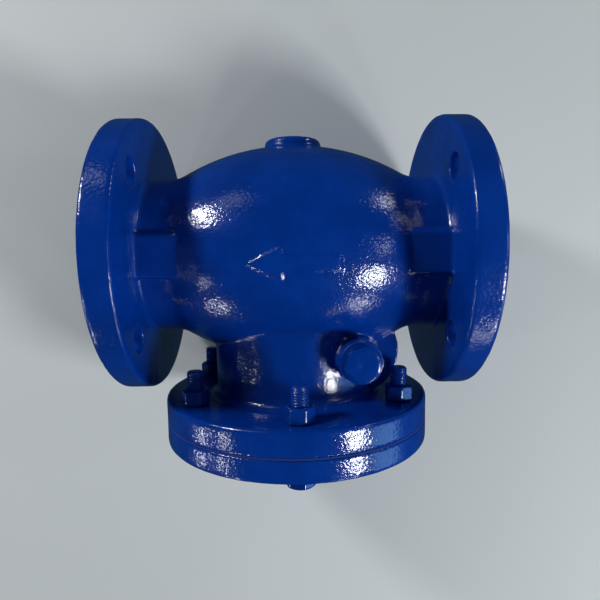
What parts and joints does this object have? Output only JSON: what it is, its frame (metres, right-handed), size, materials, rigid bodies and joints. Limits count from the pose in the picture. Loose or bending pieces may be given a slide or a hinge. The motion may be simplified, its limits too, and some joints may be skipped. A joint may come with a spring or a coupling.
{
  "type": "swing check valve",
  "caption": "Flanged swing check valve: round cast body, bolted bonnet, and a disc on a hinged arm that opens with the flow and shuts on a seat ring.",
  "frame": {"origin": "centre of the inlet flange's gasket face, on the pipe axis", "axes": "+X along the pipe with the flow, +Y from the pipe axis towards the bonnet, +Z up as the valve lies on its back on its flange rims, towards the hinge-pin plug; a pipeline holds it with +Y up"},
  "size_m": [0.26, 0.2505, 0.204],
  "materials": {
    "blue_enamel": "thick glossy blue enamel over rough cast iron, with a faint orange peel",
    "grey_iron": "dark cast iron, blasted and oiled",
    "bronze": "turned bronze",
    "stainless_steel": "turned stainless steel",
    "gasket_fibre": "matte compressed fibre sheet",
    "seal_rubber": "smooth black rubber"
  },
  "bodies": {
    "valve_body": {"body": "blue_enamel", "bonnet": "blue_enamel", "bonnet_bolt_1": "blue_enamel", "bonnet_bolt_2": "blue_enamel", "bonnet_bolt_3": "blue_enamel", "bonnet_bolt_4": "blue_enamel", "bonnet_bolt_5": "blue_enamel", "bonnet_bolt_6": "blue_enamel", "bonnet_nut_1": "blue_enamel", "bonnet_nut_2": "blue_enamel", "bonnet_nut_3": "blue_enamel", "bonnet_nut_4": "blue_enamel", "bonnet_nut_5": "blue_enamel", "bonnet_nut_6": "blue_enamel", "hinge_pin_plug": "blue_enamel", "seat_ring": "bronze", "bonnet_gasket": "gasket_fibre", "hinge_pin": "stainless_steel", "plug_gasket": "blue_enamel"},
    "swing_arm": {"hinge_arm": "grey_iron", "arm_bush_lower": "bronze", "arm_bush_upper": "bronze"},
    "disc_assembly": {"disc": "grey_iron", "disc_seal_ring": "seal_rubber", "disc_washer": "stainless_steel", "disc_nut": "stainless_steel", "disc_split_pin": "stainless_steel"}
  },
  "joints": [
    {"name": "arm_swing", "type": "hinge", "parent": "valve_body", "child": "swing_arm", "pos_m": [0.086, 0.073, 0], "axis": [0, 0, 1], "range_deg": [0, 65]},
    {"name": "disc_spin", "type": "hinge", "parent": "swing_arm", "child": "disc_assembly", "pos_m": [0.1, 0, 0], "axis": [1, 0, 0], "continuous": true}
  ]
}
